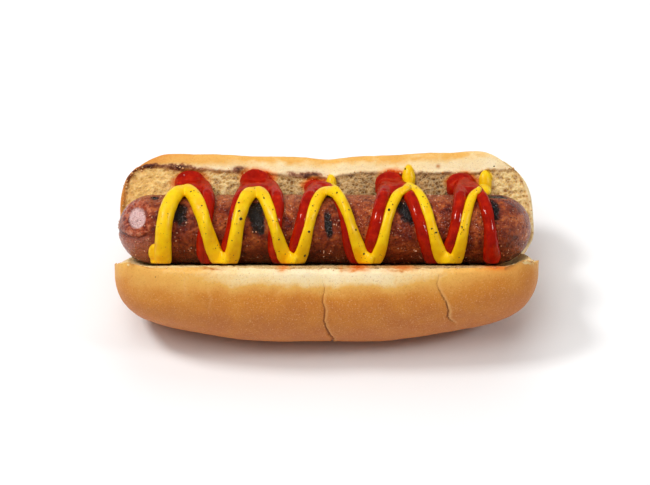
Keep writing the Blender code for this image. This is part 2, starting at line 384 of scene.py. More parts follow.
def cornerPower(station, along):
    # squareness and rounding of the outline, changing smoothly from quarter to quarter
    toBack = smoothStep(along, -0.2, 0.5)
    toRight = smoothStep(station, -0.4, 0.6)
    mixed = []
    for front, left, right in zip(bun["frontCorner"], bun["backLeft"], bun["backRight"]):
        mixed.append(front + toBack * (left + toRight * (right - left) - front))
    return mixed


def squared(across, power, rounding):
    # shortens one direction of a square sheet so that its outline is a squared circle
    return (1.0 - rounding * np.abs(across) ** power) ** (1.0 / power)


def foldRound(reach, outwards):
    # the flat loaf bent round the sausage: an arc under it, then a straight half on each side
    arc = bun["foldRadius"] * lean
    side = np.sign(reach)
    straight = np.maximum(0.0, np.abs(reach) - arc)
    angle = np.minimum(np.abs(reach), arc) / bun["foldRadius"]
    radius = bun["foldRadius"] + outwards
    y = side * (radius * np.sin(angle) + straight * np.cos(angle))
    z = -radius * np.cos(angle) + straight * np.sin(angle)
    return y, z


def bunSheet(station, along, onCrust):
    # one side of the loaf over station (-1 left, 1 right) and along (-1 front rim, 1 back rim)
    power, rounding = cornerPower(station, along)
    x = bunHalf * station
    reach = bun["halfReach"] - bun["waist"][0] * bell(station, bun["waist"][1])
    shoulders = sum(extra * bell(x - at, spread) for at, extra, spread in bun["backShoulders"])
    reach = along * (reach + np.where(along > 0.0, shoulders, 0.0)) * squared(station, power, rounding)
    frontLift = bun["endLift"][0] + smoothStep(station, -1.0, 1.0) * (bun["endLift"][1] - bun["endLift"][0])
    lift = np.where(along < 0.0, frontLift, bun["endLift"][2])
    lift = lift * np.abs(station) ** bun["endLiftPower"] * np.abs(along)
    # free room beside the sausage's round ends, of which the front crumb takes three quarters
    beyond = np.clip(np.abs(x) - (sausageHalf - sausageRadius), 0.0, sausageRadius)
    room = 0.75 * (sausageRadius - np.sqrt(sausageRadius ** 2 - beyond ** 2))
    hug = np.minimum(room, bun["hug"][0] + smoothStep(station, -0.5, 0.5) * (bun["hug"][1] - bun["hug"][0]))
    hug = hug * smoothStep(-along, -0.10, 0.12) * (1.0 - smoothStep(-along, 0.35, 0.85))
    hug = hug * (1.0 - 0.45 * smoothStep(np.abs(station), 0.94, 1.0))
    if onCrust:
        bulge = bun["bulge"] * (1.0 - bun["rightThinner"] * station) + lift
        bulge = bulge - sum(less * bell(x - at, spread) for at, less, spread in bun["thinner"])
        share, bluntPower = bun["blunt"]
        fullness = (1.0 - share) * powerCurve(station, bun["bulgePower"]) + share * powerCurve(station, bluntPower)
        outwards = bulge * fullness * crustShape(along) - lift
        outwards = outwards - hug * np.abs(station) ** 40.0
    else:
        depth = bun["foldRadius"] - sausageRadius - bun["bedGap"] - lift
        endRound = np.sqrt(np.clip(1.0 - np.abs(station) ** bun["endPower"], 0.0, 1.0))
        rimRound = np.sqrt(np.clip(1.0 - np.abs(along) ** bun["rimPower"], 0.0, 1.0))
        outwards = -depth * endRound * rimRound - lift - hug
    y, z = foldRound(reach, outwards)
    drawIn, drawReach = bun["endDrawIn"]
    x = x * squared(along, power, rounding) * (1.0 - drawIn * bell(reach, drawReach))
    return mm * np.stack([x, y, np.maximum(0.0, z + axisHeight)], axis=-1)


def spread(count, density):
    # count + 1 places from -1 to 1, closer together where the density is higher
    fine = np.linspace(-1.0, 1.0, 20001)
    total = np.concatenate([[0.0], np.cumsum(density(0.5 * (fine[1:] + fine[:-1])))])
    return np.interp(np.linspace(0.0, total[-1], count + 1), total, fine)


def stationDensity(station):
    ends = 0.34 / np.sqrt(1.002 - np.abs(station))
    atCracks = 1.6 * bell(station - 0.0, 0.03) + 1.0 * bell(station - 0.545, 0.045)
    return 0.75 + ends + atCracks


def spanDensity(along):
    return 0.70 + 0.42 / np.sqrt(1.0015 - np.abs(along))


def borderDistance(sheet):
    # length along each section from the nearer rim, and along each row from the nearer end, in millimetres
    across = np.linalg.norm(np.diff(sheet, axis=1), axis=2) / mm
    fromRim = np.hstack([np.zeros((len(sheet), 1)), np.cumsum(across, axis=1)])
    along = np.linalg.norm(np.diff(sheet, axis=0), axis=2) / mm
    fromEnd = np.vstack([np.zeros((1, sheet.shape[1])), np.cumsum(along, axis=0)])
    return np.minimum(fromRim, fromRim[:, -1:] - fromRim), np.minimum(fromEnd, fromEnd[-1:] - fromEnd)


def crackField(x, up, course, width, lip):
    # how deep a crack is at each point, and how high its lip stands, in millimetres
    line = np.interp(-up, -np.array(course["up"]), course["x"])
    deep = np.interp(-up, -np.array(course["up"]), course["depth"], left=0.0, right=course["depth"][-1])
    side = x - line
    return deep * bell(side, width), lip * np.minimum(deep, 0.6) * bell(side - 2.4 * width, 2.0 * width)


def makeBun():
    stations = spread(bun["stations"], stationDensity)
    spans = spread(bun["spans"], spanDensity)
    station, along = np.meshgrid(stations, spans, indexing="ij")
    crust = bunSheet(station, along, True)
    crumb = bunSheet(station, along, False)
    inside = np.zeros(station.shape, bool)
    inside[1:-1, 1:-1] = True
    crustIds = np.arange(station.size).reshape(station.shape)
    crumbIds = crustIds.copy()
    crumbIds[inside] = station.size + np.arange(inside.sum())

    def bothSheets(onCrust, onCrumb):
        return np.concatenate([onCrust.reshape(station.size, -1), onCrumb[inside].reshape(inside.sum(), -1)])

    points = bothSheets(crust, crumb)
    faces = np.vstack([gridQuads(crustIds)[:, ::-1], gridQuads(crumbIds)])
    piece = makePiece("bun_loaf", points, faces)

    place = points / mm
    s = bothSheets(station, station)[:, 0]
    a = bothSheets(along, along)[:, 0]
    onCrust = bothSheets(np.ones(station.shape), np.zeros(station.shape))[:, 0] > 0.5
    crustRim, crustEnd = borderDistance(crust)
    crumbRim, crumbEnd = borderDistance(crumb)
    rim = bothSheets(np.minimum(crustRim, 1.3 * crustEnd), -np.minimum(crumbRim, 1.3 * crumbEnd))[:, 0]
    rimOnly = bothSheets(crustRim, -crumbRim)[:, 0]
    endOnly = bothSheets(crustEnd, -crumbEnd)[:, 0]
    back = smoothStep(a, -0.05, 0.05)
    x, up, near = fromWorld(points)

    # the torn line between the shoulder and the cut face wanders by a few tenths
    tear = 0.40 * roughNoise(place, 5.0, 11) + 0.25 * softNoise(place, 1.2, 14)
    shoulder = (1.0 - back) * np.interp(s, *bun["frontShoulder"]) + back * np.interp(s, *bun["backShoulder"])
    endShoulder = (1.0 - back) * bun["endShoulder"][0] + back * bun["endShoulder"][1]
    intoCrumb = np.minimum(-rimOnly - shoulder, -endOnly - endShoulder) - tear
    isCrumb = smoothStep(intoCrumb, -0.35, 0.35)

    pores = poreNoise(place * np.array([1.0, 1.2, 1.2]), 1.7, 21)
    finePores = poreNoise(place, 0.9, 24)
    underSausage = bell(up + near, 9.0) * smoothStep(5.0 - np.abs(a) * 39.5, -9.0, 2.0)
    frontEnds = (1.0 - back) * smoothStep(np.abs(x), 58.0, 67.0)
    open_ = isCrumb * (1.0 - 0.9 * underSausage) * (1.0 - 0.6 * frontEnds)
    height = -bun["cutStep"] * smoothStep(intoCrumb, -0.3, 0.9) * smoothStep(np.abs(a), 0.1, 0.5)
    height += 0.22 * bell(intoCrumb + 0.5, 0.6) * (1.0 - onCrust)
    height -= open_ * (0.40 * pores + 0.32 * finePores)
    height += open_ * 0.14 * roughNoise(place, 2.2, 31)
    crustMask = 1.0 - isCrumb
    height += crustMask * (0.40 * softNoise(place, 24.0, 41) + 0.14 * roughNoise(place, 7.0, 43))
    height += crustMask * 0.035 * roughNoise(place, 1.6, 47, 2)
    torn = (1.0 - back) * smoothStep(-rim, -1.5, 1.5) * smoothStep(-intoCrumb, -3.0, -1.0)
    height += torn * (0.16 * roughNoise(place, 1.3, 51, 2) - 0.22 * poreNoise(place, 1.4, 53))

    front = onCrust * (a < 0.0)
    crackDepth = np.zeros(len(points))
    crackLip = np.zeros(len(points))
    for number, course in enumerate(cracks.values()):
        wobble = 0.35 * roughNoise(place, 2.2, 61 + number, 2)
        cut, lip = crackField(x + wobble, up, course, course["width"], course["lip"])
        crackDepth = np.maximum(crackDepth, front * cut)
        crackLip = np.maximum(crackLip, front * lip)
    creaseDepth = np.zeros(len(points))
    bend = 0.5 * roughNoise(place, 3.0, 65, 2)
    for course in creases["lines"]:
        cut, lip = crackField(x + bend, up, course, creases["width"], 0.0)
        creaseDepth = np.maximum(creaseDepth, front * cut)
    height += crackLip - crackDepth - creaseDepth
    crackLip = np.maximum(crackLip, 0.8 * creaseDepth)

    pushOut(piece, height)
    raised = readPoints(piece)
    raised[:, 2] = np.maximum(0.0, raised[:, 2])
    writePoints(piece, raised)

    # how far each spot is baked: 0 cream, 0.4 golden, 1 brown
    uneven = 1.2 * roughNoise(place, 11.0, 71) + 0.8 * roughNoise(place, 3.4, 77, 3)
    level = rim + uneven
    cream = np.interp(level, (-8.0, 1.0, 3.2, 4.6, 6.4, 9.0, 14.0, 30.0), (0.0, 0.04, 0.22, 0.43, 0.66, 0.83, 0.90, 1.0))
    golden = np.interp(level, (-7.0, 0.0, 4.0, 8.0, 15.0, 30.0), (0.36, 0.43, 0.52, 0.73, 0.88, 1.0))
    brown = np.interp(level, (-7.0, 0.0, 4.0, 10.0, 30.0), (0.45, 0.55, 0.74, 0.88, 1.0))
    toCream = smoothStep(x, -58.0, -14.0)
    toBrown = smoothStep(x, 16.0, 60.0)
    frontBake = golden + toCream * (cream - golden)
    frontBake = frontBake + toBrown * (brown - frontBake)
    backBake = np.interp(level, (-9.0, -5.2, -2.6, 3.0, 12.0, 30.0), (0.03, 0.09, 0.42, 0.54, 0.74, 1.0))
    backBake += 0.12 * roughNoise(place * np.array([0.5, 1.0, 1.0]), 3.0, 79, 3) * smoothStep(rim, -6.0, -3.0)
    leftGold = smoothStep(-x, 14.0, 42.0)
    backBake = np.maximum(backBake, (0.09 + 0.31 * leftGold) * smoothStep(rim, -8.0, -3.5))
    backBake += (0.10 * smoothStep(-x, 25.0, 50.0) + 0.22 * smoothStep(-x, 55.0, 66.0)) * smoothStep(rim, -8.0, -3.5)
    backBake *= 1.0 - 0.7 * smoothStep(x, 50.0, 64.0) * smoothStep(-np.abs(rim + 2.0), -9.0, -3.0)
    bake = (1.0 - back) * frontBake + back * backBake
    paintPoints(piece, "bake", np.clip(bake, 0.0, 1.0))
    paintPoints(piece, "crumb", isCrumb)
    # the pore mask also paints the crumb darker in its pits: painted shade
    paintPoints(piece, "poreShade", np.clip(0.8 * pores + 0.4 * finePores, 0.0, 1.0) * (1.0 - 0.75 * frontEnds))
    # the middle of the crumb is darker where grease soaks it and where the sausage shades it: partly a real stain,
    # partly painted shade
    dampAndShade = smoothStep(x, -56.0, -10.0) * (0.6 + 0.4 * smoothStep(x, -20.0, 30.0)) * (1.0 - smoothStep(x, 48.0, 68.0))
    dampAndShade = dampAndShade * (1.0 - frontEnds)
    paintPoints(piece, "dampAndShade", dampAndShade)
    paintPoints(piece, "warm", back * smoothStep(-x, 48.0, 66.0))
    paintPoints(piece, "crack", np.clip(crackDepth / 0.8, 0.0, 1.0))
    paintPoints(piece, "lip", np.clip(crackLip / 0.12, 0.0, 1.0))
    paintPoints(piece, "char", charField(x, back, intoCrumb, place))
    paintPoints(piece, "toast", toastField(x, up, back, intoCrumb, place))
    paintPoints(piece, "redStain", redStain(x, up, near, back, place))
    paintPoints(piece, "yellowStain", yellowStain(x, up, near, back, place))
    edge = bell(intoCrumb, 0.8) * (1.0 - onCrust)
    return piece, edge


crustBehind = -21.0                # near of the back half's outer crust begins here
toastMarks = {
    # burnt streaks on the edge of the back half: x, half length, half width, strength
    "char": ((-71.8, 2.2, 0.7, 0.75), (-65.6, 3.0, 0.9, 1.0), (-60.0, 3.0, 0.5, 0.45), (-54.3, 3.9, 0.95, 1.1),
             (-48.6, 2.2, 0.6, 0.55), (-32.1, 2.3, 0.9, 0.8), (-12.0, 1.8, 0.7, 0.5), (-6.4, 3.2, 0.8, 1.0),
             (27.0, 1.2, 0.5, 0.35)),
    # browned touches along the front edge
    "frontToast": ((-66.0, 5.0, 1.2, 0.75), (-41.0, 3.8, 1.3, 1.0), (-16.0, 1.2, 0.9, 0.8),
                   (5.6, 1.0, 1.6, 0.9), (10.6, 4.2, 1.0, 0.9), (27.0, 6.0, 0.9, 0.9), (61.0, 6.0, 2.0, 0.6)),
    "spot": ((41.5, 23.4, 0.7),),
}
sauceMarks = {
    # ketchup soaked into the bread: x, up, half width, half height
    "back": ((-50.6, 17.6, 7.6, 4.9), (-25.4, 18.6, 7.8, 5.0), (-4.0, 16.2, 6.0, 3.6), (25.0, 18.0, 6.4, 5.2),
             (51.0, 17.4, 7.2, 4.4)),
    "front": ((-15.4, 2.6, 0.6), (5.2, 1.0, 0.45), (11.4, 4.2, 0.78), (27.0, 5.4, 0.62), (60.5, 6.4, 0.72)),
    "mustard": ((1.6, 17.6, 1.6, 3.0), (30.4, 20.4, 2.2, 4.6), (60.0, 18.4, 1.7, 4.2)),
}


def charField(x, back, intoCrumb, place):
    # streaks that follow the cut edge, each a hump along x and a narrower one across the edge
    amount = np.zeros(len(x))
    ragged = 0.35 * roughNoise(place, 1.6, 81)
    for at, halfLength, halfWidth, strength in toastMarks["char"]:
        streak = bell(x - at, 1.15 * halfLength) * bell(intoCrumb + 0.7 + ragged, 1.15 * halfWidth)
        amount = np.maximum(amount, strength * streak)
    return np.clip(back * amount * (1.0 + 0.5 * roughNoise(place, 1.2, 83)), 0.0, 1.0)


def toastField(x, up, back, intoCrumb, place):
    # a thin browned line along the whole edge, wider at the left end, and touches on the front
    ragged = 0.8 * roughNoise(place, 2.4, 91)
    line = bell(intoCrumb + ragged, 0.9) * (0.12 + 0.45 * smoothStep(-x, 10.0, 50.0) + 0.25 * softNoise(place, 5.0, 92))
    leftEnd = smoothStep(-x, 56.0, 76.0) * smoothStep(intoCrumb, -1.0, 1.0) * 0.35 * bell(intoCrumb, 6.0)
    backToast = np.maximum(line, leftEnd)
    frontToast = 0.25 * bell(intoCrumb + ragged, 0.7) * (0.5 + 0.5 * softNoise(place, 6.0, 93))
    for at, halfLength, halfWidth, strength in toastMarks["frontToast"]:
        touch = bell(x - at, halfLength) * bell(intoCrumb + 1.2 + ragged, halfWidth)
        frontToast = np.maximum(frontToast, strength * touch)
    for at, height, size in toastMarks["spot"]:
        spot = bell(np.hypot(x - at, up - height), size)
        backToast = np.maximum(backToast, spot)
    return np.clip(back * backToast + (1.0 - back) * frontToast, 0.0, 1.0)


def redStain(x, up, near, back, place):
    # ketchup soaked into the back crumb round each blob, and smears along the front edge
    ragged = 0.10 * roughNoise(place, 2.6, 101)
    inner = back * smoothStep(near, crustBehind, crustBehind + 3.0)
    amount = np.zeros(len(x))
    for at, height, halfWide, halfTall in sauceMarks["back"]:
        away = np.hypot((x - at) / halfWide, (up - height) / halfTall) + ragged
        amount = np.maximum(amount, inner * (1.0 - smoothStep(away, 0.55, 1.14)))
    for at, halfLength, strength in sauceMarks["front"]:
        smear = bell(x - at, halfLength) * bell(up + 13.2 - 5.0 * ragged, 2.0) * strength
        amount = np.maximum(amount, (1.0 - back) * smear)
    return np.clip(amount, 0.0, 1.0)


def yellowStain(x, up, near, back, place):
    ragged = 0.25 * roughNoise(place, 1.8, 111)
    amount = np.zeros(len(x))
    for at, height, halfWide, halfTall in sauceMarks["mustard"]:
        away = np.hypot((x - at) / halfWide, (up - height) / halfTall) + ragged
        amount = np.maximum(amount, 1.0 - smoothStep(away, 0.45, 1.15))
    return np.clip(back * smoothStep(near, crustBehind, crustBehind + 3.0) * amount, 0.0, 1.0)


def bunMaterial():
    material, tree, shader = newMaterial("baked_bread")
    place = objectPlace(tree)
    patches = noiseAt(tree, place, 9.0, 4.0, 0.6)
    grain = noiseAt(tree, place, 0.9, 4.0, 0.65)
    speck = noiseAt(tree, place, 0.45, 2.0, 0.6)
    baked = calc(tree, "ADD", painted(tree, "bake"), rescale(tree, patches, 0.3, 0.7, -0.07, 0.07))
    baked = calc(tree, "ADD", baked, rescale(tree, grain, 0.3, 0.7, -0.05, 0.05))
    crustColour = rampOf(tree, baked, (
        (0.00, tint(248, 229, 188)), (0.18, tint(244, 214, 156)), (0.40, tint(235, 179, 90)),
        (0.60, tint(228, 162, 77)), (0.80, tint(215, 136, 50)), (1.00, tint(196, 113, 49))))
    lightSpecks = rescale(tree, speck, 0.58, 0.68)
    lightSpecks = calc(tree, "MULTIPLY", lightSpecks, rescale(tree, painted(tree, "bake"), 0.4, 0.8, 0.05, 0.5))
    crustColour = blend(tree, lightSpecks, crustColour, tint(244, 198, 132))
    darkSpecks = rescale(tree, speck, 0.42, 0.32, 0.0, 0.35)
    crustColour = blend(tree, darkSpecks, crustColour, tint(168, 88, 30))
    lips = calc(tree, "MULTIPLY", painted(tree, "lip"), 0.65)
    crustColour = blend(tree, lips, crustColour, tint(236, 180, 112))
    # the cracks are painted darker brown: painted shade in the recess
    crackShade = rescale(tree, painted(tree, "crack"), 0.15, 0.8, 0.0, 0.8)
    crustColour = blend(tree, crackShade, crustColour, tint(140, 72, 28))

    # the crumb is darker in its pores and paler on the thin walls between them: painted shade and painted highlight
    poreShading = rescale(tree, painted(tree, "poreShade"), 0.05, 0.9)
    cells = cellsAt(tree, place, 1.25, "DISTANCE_TO_EDGE")
    wallHighlight = rescale(tree, cells, 0.0, 0.16, 1.0, 0.0)
    crumbColour = rampOf(tree, poreShading, (
        (0.0, tint(252, 222, 156)), (0.35, tint(232, 188, 110)), (1.0, tint(148, 96, 46))))
    crumbColour = blend(tree, rescale(tree, patches, 0.35, 0.75, 0.0, 0.35), crumbColour, tint(206, 156, 92))
    # darker, greyer crumb in the middle: partly grease stain, partly painted shade under the sausage
    dampAndShade = calc(tree, "MULTIPLY", painted(tree, "dampAndShade"), 0.9)
    crumbColour = blend(tree, dampAndShade, crumbColour, blend(tree, poreShading, tint(178, 132, 80), tint(88, 56, 28)))
    shownWallHighlight = calc(tree, "MULTIPLY", wallHighlight, rescale(tree, painted(tree, "dampAndShade"), 0.0, 1.0, 0.5, 0.34))
    crumbColour = blend(tree, shownWallHighlight, crumbColour, tint(250, 226, 178))
    golden = calc(tree, "MULTIPLY", painted(tree, "warm"), 0.45)
    crumbColour = blend(tree, golden, crumbColour, tint(255, 202, 108))
    colour = blend(tree, painted(tree, "crumb"), crustColour, crumbColour)

    toasted = calc(tree, "MULTIPLY", painted(tree, "toast"), rescale(tree, grain, 0.3, 0.6, 0.45, 1.2))
    colour = blend(tree, toasted, colour, tint(190, 112, 42))
    charred = calc(tree, "MULTIPLY", painted(tree, "char"), rescale(tree, grain, 0.32, 0.58, 0.5, 1.6))
    colour = blend(tree, rescale(tree, charred, 0.02, 0.34, 0.0, 0.8), colour, tint(160, 84, 46))
    colour = blend(tree, rescale(tree, charred, 0.16, 0.85, 0.0, 0.92), colour, tint(66, 28, 26))
    soaked = calc(tree, "MULTIPLY", painted(tree, "redStain"), rescale(tree, grain, 0.25, 0.6, 0.8, 1.05))
    redColour = rampOf(tree, soaked, ((0.0, tint(246, 180, 84)), (0.45, tint(236, 128, 36)), (1.0, tint(196, 50, 10))))
    colour = blend(tree, rescale(tree, soaked, 0.0, 0.8), colour, redColour)
    yellow = calc(tree, "MULTIPLY", painted(tree, "yellowStain"), rescale(tree, grain, 0.3, 0.6, 0.5, 1.2))
    colour = blend(tree, rescale(tree, yellow, 0.1, 0.7), colour, tint(240, 190, 30))

    roughness = rescale(tree, grain, 0.2, 0.8, 0.42, 0.62)
    roughness = calc(tree, "ADD", roughness, calc(tree, "MULTIPLY", painted(tree, "crumb"), 0.25))
    roughness = calc(tree, "SUBTRACT", roughness, calc(tree, "MULTIPLY", painted(tree, "redStain"), 0.35))
    skinHeight = calc(tree, "ADD", grain, calc(tree, "MULTIPLY", speck, 0.5))
    skin = bumpFrom(tree, skinHeight, 0.55, 0.30)
    poreBump = calc(tree, "MULTIPLY", cells, painted(tree, "crumb"))
    normal = bumpFrom(tree, poreBump, 0.7, 0.6, skin)
    setSockets(tree, shader, {"Base Color": colour, "Roughness": roughness, "Normal": normal})
    shader.inputs["Specular IOR Level"].default_value = 0.22
    shader.inputs["Subsurface Weight"].default_value = 0.12
    shader.inputs["Subsurface Radius"].default_value = (0.004, 0.002, 0.001)
    shader.inputs["Subsurface Scale"].default_value = 0.6
    return material


bunPiece, bunEdge = makeBun()
bunPiece.data.materials.append(bunMaterial())
print("bun made:", len(bunPiece.data.vertices), "points")


# ---- sausage ------------------------------------------------------------------------------
sausage = {
    "rings": 400,
    "around": 208,
    # black stripes of the grill: x, up, half width, half height, slant
    "grillMarks": ((-53.4, 6.2, 3.1, 5.2, 0.22), (-25.2, 4.3, 2.8, 6.6, 0.15), (-23.4, -1.0, 1.0, 1.3, 0.0),
                   (28.2, 6.4, 2.6, 5.4, 0.25), (60.4, 7.0, 2.3, 5.2, 0.2), (-62.1, 11.4, 1.7, 1.6, 0.0),
                   (0.6, 1.5, 1.5, 5.5, 0.1), (62.0, 11.6, 4.0, 1.8, 0.0)),
    "grillDepth": 0.35,
    # the tied end at the left: x, up, half sizes of the pale scar, and of the wrinkled ring round it
    "scar": (-68.2, 3.8, 3.2, 3.95),
    "ringWidth": 2.3,
    # a fold from the outline past the scar, as x and up
    "fold": ((-76.5, -0.4), (-74.4, -1.5), (-71.2, -3.0), (-68.0, -3.6), (-64.9, -2.4)),
}


def lineDistance(x, up, line):
    # distance in the (x, up) plane from the nearest stretch of a line
    best = np.full(len(x), 1e9)
    for (x0, y0), (x1, y1) in zip(line, line[1:]):
        length = (x1 - x0) ** 2 + (y1 - y0) ** 2
        part = np.clip(((x - x0) * (x1 - x0) + (up - y0) * (y1 - y0)) / length, 0.0, 1.0)
        best = np.minimum(best, np.hypot(x - x0 - part * (x1 - x0), up - y0 - part * (y1 - y0)))
    return best


def makeSausage():
    # half circle, straight, half circle: the outline at equal steps of length, turned about the axis
    straight = sausageHalf - sausageRadius
    quarter = 0.5 * math.pi * sausageRadius
    run = np.linspace(0.15, 2.0 * (quarter + straight) - 0.15, sausage["rings"])
    leftTurn = np.minimum(run, quarter) / sausageRadius
    rightTurn = np.maximum(0.0, run - quarter - 2.0 * straight) / sausageRadius
    x = (sausageMid - straight - sausageRadius * np.cos(leftTurn) + sausageRadius * np.sin(rightTurn)
         + np.clip(run - quarter, 0.0, 2.0 * straight))
    radius = sausageRadius * np.sin(leftTurn) * np.cos(rightTurn)
    angle = np.linspace(0.0, 2.0 * math.pi, sausage["around"], endpoint=False)
    up = radius[:, None] * np.sin(angle)
    near = radius[:, None] * np.cos(angle)
    rings = toWorld(np.broadcast_to(x[:, None], up.shape), up, near)
    points, faces = closedTube(rings)
    piece = makePiece("sausage_link", points, faces)

    place = points / mm
    x, up, near = fromWorld(points)
    facing = smoothStep(near, -2.0, 3.0)
    around = sausageRadius * np.arctan2(up, near)
    along = np.stack([x * 0.35, up, near], axis=-1)
    height = 0.26 * softNoise(place, 19.0, 201) + 0.10 * roughNoise(place, 6.0, 203)
    height += 0.085 * roughNoise(along, 1.7, 207, 2) + 0.05 * softNoise(place, 0.9, 209)

    grill = np.zeros(len(points))
    for at, middle, halfWide, halfTall, slant in sausage["grillMarks"]:
        level = sausageRadius * math.asin(middle / sausageRadius)
        across = (x - at - slant * (level - around)) / halfWide
        away = np.hypot(across, (around - level) / halfTall) + 0.26 * roughNoise(place, 2.4, 211)
        grill = np.maximum(grill, facing * (1.0 - smoothStep(away, 0.25, 1.35)))
    height -= sausage["grillDepth"] * grill
    height += 0.30 * grill * roughNoise(place, 1.1, 217, 2)

    scarX, scarUp, scarWide, scarTall = sausage["scar"]
    away = np.hypot((x - scarX) / scarWide, (up - scarUp) / scarTall) + 0.06 * softNoise(place, 2.0, 221)
    spoke = np.arctan2(up - scarUp, x - scarX)
    ringPart = 1.0 + sausage["ringWidth"] / scarWide
    scar = facing * (1.0 - smoothStep(away, 0.86, 1.04))
    ring = facing * smoothStep(away, 0.9, 1.1) * (1.0 - smoothStep(away, ringPart - 0.25, ringPart + 0.25))
    height -= 0.45 * scar
    height += ring * (0.22 + 0.16 * np.sin(15.0 * spoke + 2.5 * softNoise(place, 2.5, 223)))
    height += 0.18 * ring * roughNoise(place, 1.3, 225, 2)
    fold = facing * bell(lineDistance(x, up, sausage["fold"]), 0.55) * (x < -60.0)
    leftOfScar = smoothStep(-x, 71.0, 76.0)
    height -= fold * (0.55 + 0.5 * leftOfScar)
    pushOut(piece, height)

    belowFold = smoothStep(-(up + 2.6), -0.5, 1.0) * smoothStep(-x, 58.0, 66.0)
    paintPoints(piece, "grill", grill)
    paintPoints(piece, "scar", scar)
    paintPoints(piece, "ring", ring)
    paintPoints(piece, "fold", np.clip(fold, 0.0, 1.0))
    paintPoints(piece, "lobe", facing * belowFold)
    # a paler band along the top of the sausage and a patch at its right end: painted sheen
    topSheen = smoothStep(up, 5.5, 11.5) * (1.0 - 0.9 * smoothStep(x, 15.0, 50.0))
    paintPoints(piece, "topSheen", np.maximum(topSheen, 0.8 * smoothStep(x, 60.0, 70.0) * bell(up - 1.0, 7.0)))
    # the underside is painted darker: painted shade under the sausage
    paintPoints(piece, "underShade", smoothStep(-up, 1.0, 11.0))
    return piece


def sausageMaterial():
    material, tree, shader = newMaterial("grilled_casing")
    place = objectPlace(tree)
    blotch = noiseAt(tree, place, 7.0, 5.0, 0.62, 0.6)
    mottle = noiseAt(tree, place, 1.7, 4.0, 0.65, 0.4)
    fine = noiseAt(tree, place, 0.5, 3.0, 0.6)
    mixed = calc(tree, "ADD", calc(tree, "MULTIPLY", blotch, 0.62), calc(tree, "MULTIPLY", mottle, 0.38))
    colour = rampOf(tree, mixed, (
        (0.34, tint(52, 10, 6)), (0.43, tint(104, 28, 12)), (0.52, tint(148, 60, 26)),
        (0.60, tint(188, 96, 42)), (0.70, tint(220, 136, 72))))
    dots = rescale(tree, cellsAt(tree, place, 1.6), 0.12, 0.26, 1.0, 0.0)
    dots = calc(tree, "MULTIPLY", dots, rescale(tree, blotch, 0.42, 0.55))
    colour = blend(tree, dots, colour, tint(64, 22, 14))
    # darker towards the underside: painted shade
    colour = blend(tree, calc(tree, "MULTIPLY", painted(tree, "underShade"), 0.55), colour, tint(84, 26, 8))
    # the top band in a paler, pinker colour: painted sheen
    sheenColour = blend(tree, rescale(tree, mottle, 0.35, 0.65), tint(126, 50, 24), tint(204, 118, 68))
    colour = blend(tree, calc(tree, "MULTIPLY", painted(tree, "topSheen"), 0.55), colour, sheenColour)
    lobe = calc(tree, "MULTIPLY", painted(tree, "lobe"), 0.85)
    colour = blend(tree, lobe, colour, blend(tree, mottle, tint(120, 50, 38), tint(208, 124, 96)))
    ringColour = rampOf(tree, mottle, ((0.35, tint(104, 28, 18)), (0.5, tint(170, 70, 36)), (0.65, tint(214, 130, 96))))
    colour = blend(tree, painted(tree, "ring"), colour, ringColour)
    scarColour = rampOf(tree, fine, ((0.34, tint(130, 84, 84)), (0.41, tint(222, 172, 168)), (0.7, tint(240, 208, 202))))
    colour = blend(tree, painted(tree, "scar"), colour, scarColour)
    # the fold is painted darker: painted shade in the crease
    colour = blend(tree, calc(tree, "MULTIPLY", painted(tree, "fold"), 0.6), colour, tint(92, 30, 22))
    burnt = calc(tree, "MULTIPLY", painted(tree, "grill"), rescale(tree, mottle, 0.3, 0.6, 0.6, 1.5))
    colour = blend(tree, rescale(tree, burnt, 0.02, 0.5), colour, tint(66, 22, 14))
    colour = blend(tree, rescale(tree, burnt, 0.3, 0.85), colour, tint(12, 7, 7))

    roughness = rescale(tree, mottle, 0.3, 0.7, 0.40, 0.24)
    roughness = calc(tree, "SUBTRACT", roughness, calc(tree, "MULTIPLY", painted(tree, "grill"), 0.10))
    ridges = calc(tree, "ADD", mottle, calc(tree, "MULTIPLY", fine, 0.7))
    normal = bumpFrom(tree, ridges, 0.8, 0.8)
    beads = rescale(tree, cellsAt(tree, place, 1.3), 0.0, 0.45, 1.0, 0.0)
    normal = bumpFrom(tree, beads, 0.9, 0.40, normal)
    wet = rescale(tree, painted(tree, "grill"), 0.2, 0.9, 0.42, 0.9)
    setSockets(tree, shader, {"Base Color": colour, "Roughness": roughness, "Normal": normal,
                              "Coat Normal": normal, "Coat Weight": wet})
    shader.inputs["Specular IOR Level"].default_value = 0.22
    shader.inputs["Coat Roughness"].default_value = 0.07
    shader.inputs["Subsurface Weight"].default_value = 0.05
    shader.inputs["Subsurface Radius"].default_value = (0.003, 0.001, 0.0005)
    return material


sausagePiece = makeSausage()
sausagePiece.data.materials.append(sausageMaterial())
print("sausage made:", len(sausagePiece.data.vertices), "points")


